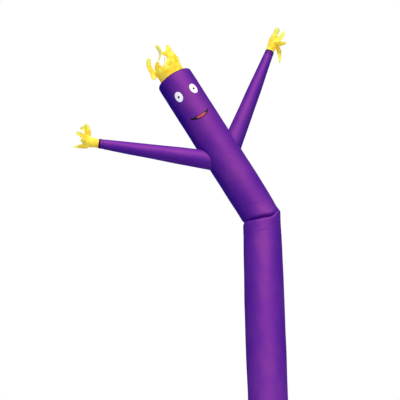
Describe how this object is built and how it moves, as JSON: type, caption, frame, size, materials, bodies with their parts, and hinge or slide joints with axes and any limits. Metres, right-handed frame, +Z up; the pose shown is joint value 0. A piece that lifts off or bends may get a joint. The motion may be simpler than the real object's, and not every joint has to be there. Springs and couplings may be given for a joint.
{
  "type": "inflatable air dancer",
  "caption": "Tall bent tube of thin purple cloth with a sewn face, two tapered arms, and yellow cut strips for hair and hands; air from its open base holds it up.",
  "frame": {"origin": "centre of the tube's open base, in the plane of its hem", "axes": "+Z up along the lower tube; the face looks to -Y; the upper tube leans to -X"},
  "size_m": [2.5732, 0.7525, 6.1716],
  "materials": {
    "purple_cloth": "thin coated nylon with a soft sheen",
    "yellow_cloth": "thin translucent nylon",
    "white_cloth": "matt nylon patch",
    "black_cloth": "matt nylon patch",
    "red_cloth": "matt nylon patch"
  },
  "bodies": {
    "root": {"body_tube": "purple_cloth", "crown_panel": "purple_cloth", "arm_left": "purple_cloth", "arm_right": "purple_cloth", "hair": "yellow_cloth", "hand_left": "yellow_cloth", "hand_right": "yellow_cloth", "eye_left": "white_cloth", "eye_right": "white_cloth", "pupil_left": "black_cloth", "pupil_right": "black_cloth", "mouth": "black_cloth", "mouth_red": "red_cloth"}
  },
  "joints": []
}
